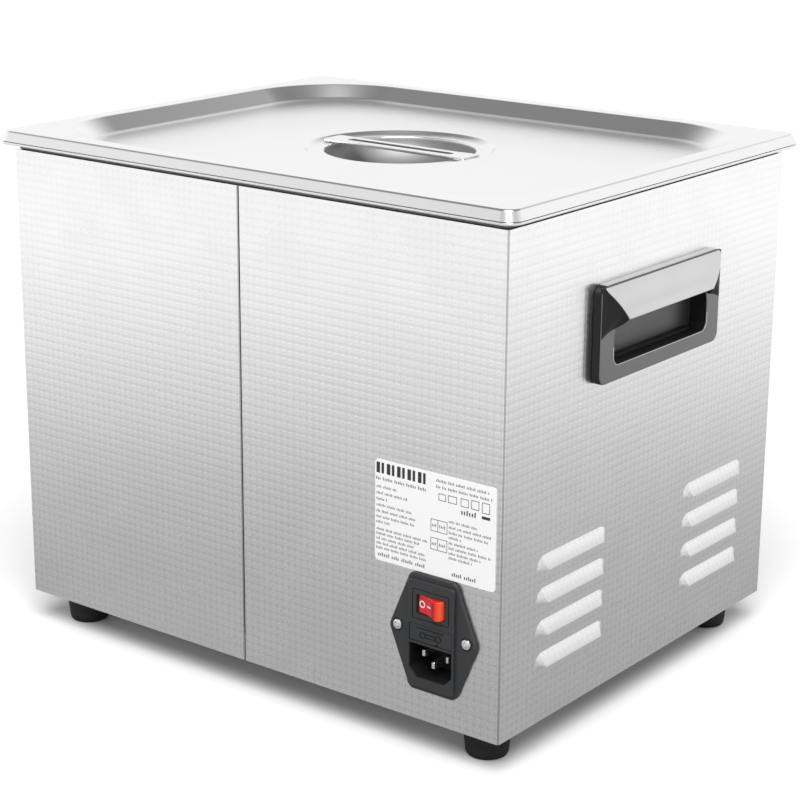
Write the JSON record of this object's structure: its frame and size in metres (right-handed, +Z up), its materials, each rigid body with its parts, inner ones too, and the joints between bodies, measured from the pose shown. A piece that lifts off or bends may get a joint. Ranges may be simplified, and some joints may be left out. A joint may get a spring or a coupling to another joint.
{
  "type": "ultrasonic cleaner",
  "caption": "Bench-top heated ultrasonic bath: embossed steel box with a lift-off lid, recessed side handles, louvres, mains inlet, control panel, drain valve and rubber feet.",
  "frame": {"origin": "centre of the whole part's box on the plane the four feet stand on; the casing's own centre line is at X = -16 mm, because the drain valve adds to the box on +X", "axes": "+Z up, -Y towards the control panel, +X towards the drain valve"},
  "size_m": [0.3662, 0.263, 0.2725],
  "materials": {
    "embossed_steel": "stainless sheet rolled with a fine square lattice of small discs",
    "polished_steel": "bright satin stainless",
    "bright_steel": "turned and plated steel",
    "aluminium": "machined",
    "brass": "cast and machined",
    "black_plastic": "fine moulded",
    "satin_trim": "satin grey metallic",
    "rubber": "moulded",
    "red_plastic": "glossy translucent red",
    "label_film": "white printed film",
    "panel_film": "fine-textured overlay",
    "display_lens": "smoked window",
    "key_plastic": "fine moulded",
    "circuit_board": "solder mask",
    "piezo_ceramic": "silvered ceramic rings",
    "fuse_glass": "clear tube",
    "heater_silicone": "silicone mat"
  },
  "bodies": {
    "chassis": {"foot_front_left": "rubber", "foot_screw_front_left": "bright_steel", "foot_front_right": "rubber", "foot_screw_front_right": "bright_steel", "foot_back_left": "rubber", "foot_screw_back_left": "bright_steel", "foot_back_right": "rubber", "foot_screw_back_right": "bright_steel", "base_tray": "polished_steel", "casing_wrap": "embossed_steel", "tank": "polished_steel", "rim_seal": "rubber", "handle_body_left": "black_plastic", "handle_hood_left": "satin_trim", "handle_body_right": "black_plastic", "handle_hood_right": "satin_trim", "inlet_housing": "black_plastic", "pin_line": "bright_steel", "pin_neutral": "bright_steel", "pin_earth": "bright_steel", "inlet_screw_left": "bright_steel", "inlet_screw_right": "bright_steel", "rating_label": "label_film", "control_fascia": "panel_film", "display_lens": "display_lens", "control_board": "circuit_board", "drain_pipe": "bright_steel", "valve_body": "brass", "drain_locknut": "brass", "transducer_front_left_horn": "aluminium", "transducer_front_left_stack": "piezo_ceramic", "transducer_front_left_back_mass": "bright_steel", "transducer_front_right_horn": "aluminium", "transducer_front_right_stack": "piezo_ceramic", "transducer_front_right_back_mass": "bright_steel", "transducer_back_left_horn": "aluminium", "transducer_back_left_stack": "piezo_ceramic", "transducer_back_left_back_mass": "bright_steel", "transducer_back_right_horn": "aluminium", "transducer_back_right_stack": "piezo_ceramic", "transducer_back_right_back_mass": "bright_steel", "heater_pad": "heater_silicone", "generator_board": "circuit_board", "heat_sink": "aluminium", "fan_frame": "black_plastic"},
    "lid": {"lid": "polished_steel", "lid_strap": "polished_steel"},
    "power_rocker": {"power_rocker": "red_plastic"},
    "fuse_tray": {"fuse_drawer": "black_plastic", "fuse": "fuse_glass"},
    "drain_handle": {"valve_lever": "red_plastic", "lever_nut": "bright_steel", "valve_ball": "bright_steel"},
    "fan": {"fan_rotor": "black_plastic"},
    "time_up_key": {"time_up_button": "key_plastic"},
    "temperature_up_key": {"temperature_up_button": "key_plastic"},
    "heat_key": {"heat_button": "key_plastic"},
    "time_down_key": {"time_down_button": "key_plastic"},
    "temperature_down_key": {"temperature_down_button": "key_plastic"},
    "start_key": {"start_button": "key_plastic"}
  },
  "joints": [
    {"name": "lid_lift", "type": "slide", "parent": "chassis", "child": "lid", "axis": [0, 0, 1], "range_m": [0, 0.2]},
    {"name": "power_switch", "type": "hinge", "parent": "chassis", "child": "power_rocker", "pos_m": [-0.1349, 0.1266, 0.0782], "axis": [0, 0, 1], "range_deg": [0, 20]},
    {"name": "fuse_drawer_slide", "type": "slide", "parent": "chassis", "child": "fuse_tray", "axis": [0, 1, 0], "range_m": [0, 0.02]},
    {"name": "drain_valve_turn", "type": "hinge", "parent": "chassis", "child": "drain_handle", "pos_m": [0.158, 0, 0.05], "axis": [0, 0, 1], "range_deg": [0, 90]},
    {"name": "fan_spin", "type": "hinge", "parent": "chassis", "child": "fan", "pos_m": [-0.016, 0.086, 0.0495], "axis": [0, 1, 0], "continuous": true},
    {"name": "time_up_press", "type": "slide", "parent": "chassis", "child": "time_up_key", "axis": [0, 1, 0], "range_m": [0, 0.001], "stiffness_N_per_m": 400, "springref_m": -0.001},
    {"name": "temperature_up_press", "type": "slide", "parent": "chassis", "child": "temperature_up_key", "axis": [0, 1, 0], "range_m": [0, 0.001], "stiffness_N_per_m": 400, "springref_m": -0.001},
    {"name": "heat_press", "type": "slide", "parent": "chassis", "child": "heat_key", "axis": [0, 1, 0], "range_m": [0, 0.001], "stiffness_N_per_m": 400, "springref_m": -0.001},
    {"name": "time_down_press", "type": "slide", "parent": "chassis", "child": "time_down_key", "axis": [0, 1, 0], "range_m": [0, 0.001], "stiffness_N_per_m": 400, "springref_m": -0.001},
    {"name": "temperature_down_press", "type": "slide", "parent": "chassis", "child": "temperature_down_key", "axis": [0, 1, 0], "range_m": [0, 0.001], "stiffness_N_per_m": 400, "springref_m": -0.001},
    {"name": "start_press", "type": "slide", "parent": "chassis", "child": "start_key", "axis": [0, 1, 0], "range_m": [0, 0.001], "stiffness_N_per_m": 400, "springref_m": -0.001}
  ]
}
